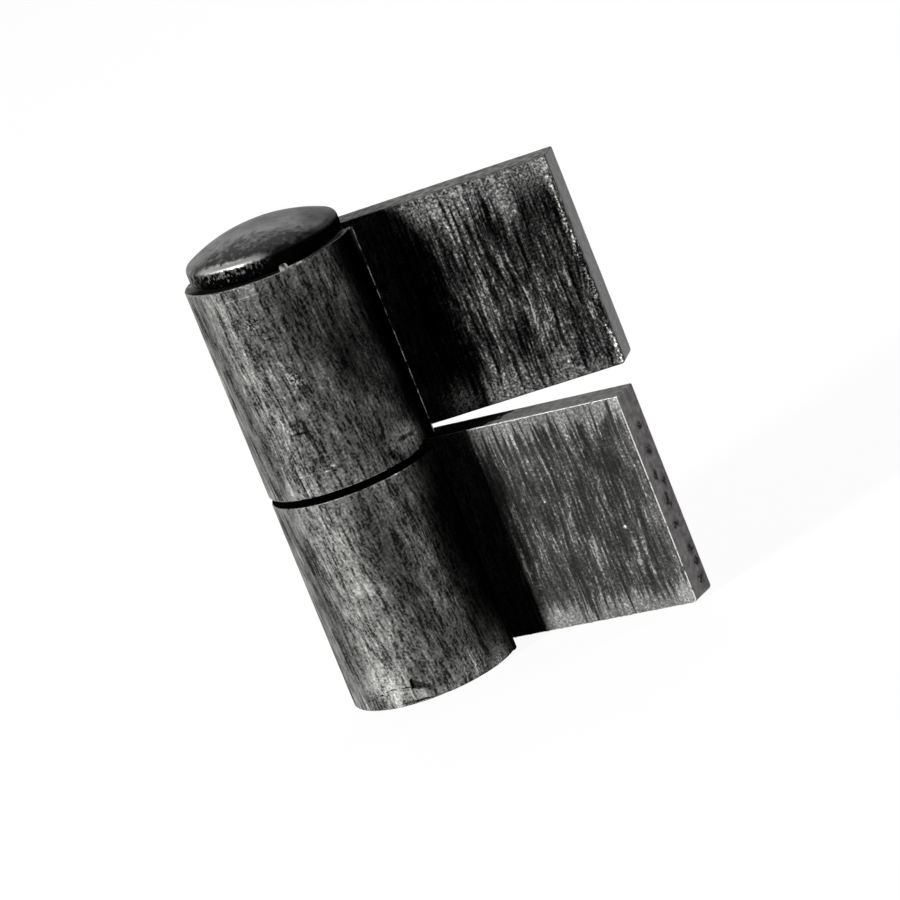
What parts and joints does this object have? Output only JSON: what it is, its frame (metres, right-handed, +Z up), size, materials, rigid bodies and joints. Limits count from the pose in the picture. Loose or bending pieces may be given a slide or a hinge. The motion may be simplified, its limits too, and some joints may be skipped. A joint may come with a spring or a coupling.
{
  "type": "weld-on hinge",
  "caption": "Weld-on door hinge: flat steel leaves rolled into barrels that turn one above the other on a loose pin with a domed head.",
  "frame": {"origin": "centre of the lower, fixed leaf's weld face", "axes": "+X along the lower leaf away from the barrel, +Y out of its weld face, +Z up along the pin"},
  "size_m": [0.0427, 0.0292, 0.0563],
  "materials": {
    "leaf_steel": "hot-rolled flat steel with dark mill scale, rubbed bright in fine streaks along the pin",
    "pin_steel": "dark forged steel, smooth on the dome and rubbed bright at the shoulder"
  },
  "bodies": {
    "lower_leaf": {"lower_leaf": "leaf_steel"},
    "upper_leaf": {"upper_leaf": "leaf_steel"},
    "hinge_pin": {"hinge_pin": "pin_steel"}
  },
  "joints": [
    {"name": "leaf_swing", "type": "hinge", "parent": "lower_leaf", "child": "upper_leaf", "pos_m": [-0.01632, -0.01005, 0], "axis": [0, 0, 1], "continuous": true},
    {"name": "pin_draw", "type": "slide", "parent": "lower_leaf", "child": "hinge_pin", "axis": [0, 0, 1], "range_m": [0, 0.052]}
  ]
}
